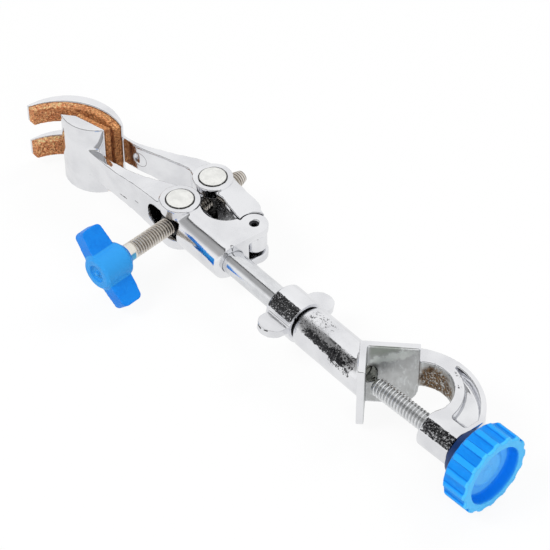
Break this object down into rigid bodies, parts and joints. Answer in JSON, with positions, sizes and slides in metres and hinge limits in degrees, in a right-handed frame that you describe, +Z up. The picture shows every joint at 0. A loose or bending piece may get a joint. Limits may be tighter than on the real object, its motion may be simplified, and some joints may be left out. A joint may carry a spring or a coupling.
{
  "type": "laboratory clamp with boss head",
  "caption": "Laboratory jaw clamp on a round rod that swivels in a boss head, with a hooked vee for a stand rod, a fluted clamp knob and a winged jaw screw.",
  "frame": {"origin": "centre of the nominal 12 mm stand rod seated in the vee, on the clamp rod's axis", "axes": "+X along the clamp rod from the jaws to the boss knob, +Y towards the hook and the moving jaw, +Z up along the stand rod"},
  "size_m": [0.2113, 0.0652, 0.0276],
  "materials": {
    "plated_casting": "bright, lightly pitted",
    "steel_rod": "polished",
    "steel_screw": "satin",
    "boss_screw_steel": "bright",
    "barrel_metal": "matte",
    "dark_steel": "dark",
    "blue_plastic": "semi-gloss",
    "cork": "rough"
  },
  "bodies": {
    "boss": {"boss_head": "plated_casting"},
    "lock_ring": {"lock_ring": "plated_casting"},
    "clamp": {"rod": "steel_rod", "rod_end_screw": "dark_steel", "clamp_body": "plated_casting", "pivot_pin": "dark_steel", "fixed_jaw_cork": "cork"},
    "jaw_arm": {"moving_jaw_arm": "plated_casting", "moving_jaw_cork": "cork"},
    "front_barrel": {"front_barrel": "barrel_metal"},
    "rear_barrel": {"rear_barrel": "barrel_metal"},
    "clamp_screw": {"clamp_screw": "steel_screw", "screw_clips": "dark_steel", "wing_knob": "blue_plastic"},
    "boss_screw": {"boss_screw": "boss_screw_steel"},
    "boss_knob": {"boss_knob": "blue_plastic"}
  },
  "joints": [
    {"name": "rod_swivel", "type": "hinge", "parent": "boss", "child": "clamp", "pos_m": [-0.045, 0, 0], "axis": [1, 0, 0], "continuous": true},
    {"name": "lock_ring_turn", "type": "hinge", "parent": "boss", "child": "lock_ring", "pos_m": [-0.042, 0, 0], "axis": [1, 0, 0], "range_deg": [0, 120]},
    {"name": "clamp_screw_turn", "type": "hinge", "parent": "front_barrel", "child": "clamp_screw", "pos_m": [-0.0985, 0, 0], "axis": [0.0959, -0.9954, 0], "range_deg": [0, 4822.1]},
    {"name": "jaw_open", "type": "hinge", "parent": "clamp", "child": "jaw_arm", "pos_m": [-0.07557, 0.01183, 0], "axis": [0, 0, -1], "range_deg": [0, 34.05]},
    {"name": "front_barrel_turn", "type": "hinge", "parent": "clamp", "child": "front_barrel", "pos_m": [-0.0985, 0, 0], "axis": [0, 0, -1], "range_deg": [0, 14.19]},
    {"name": "rear_barrel_turn", "type": "hinge", "parent": "jaw_arm", "child": "rear_barrel", "pos_m": [-0.09991, 0.01465, 0], "axis": [0, 0, 1], "range_deg": [0, 19.91]},
    {"name": "boss_knob_turn", "type": "hinge", "parent": "boss_screw", "child": "boss_knob", "pos_m": [0.011, 0, 0], "axis": [0.9986, 0.0523, 0], "range_deg": [0, 6624]},
    {"name": "boss_screw_travel", "type": "slide", "parent": "boss", "child": "boss_screw", "axis": [0.9986, 0.0523, 0], "range_m": [0, 0.02301]}
  ],
  "couplings": [
    {"joint": "jaw_open", "follows": "clamp_screw_turn", "ratio": 0.0070509},
    {"joint": "front_barrel_turn", "follows": "clamp_screw_turn", "ratio": 0.0029315},
    {"joint": "rear_barrel_turn", "follows": "clamp_screw_turn", "ratio": 0.0041193},
    {"joint": "boss_screw_travel", "follows": "boss_knob_turn", "m_per_rad": 0.00019894}
  ]
}
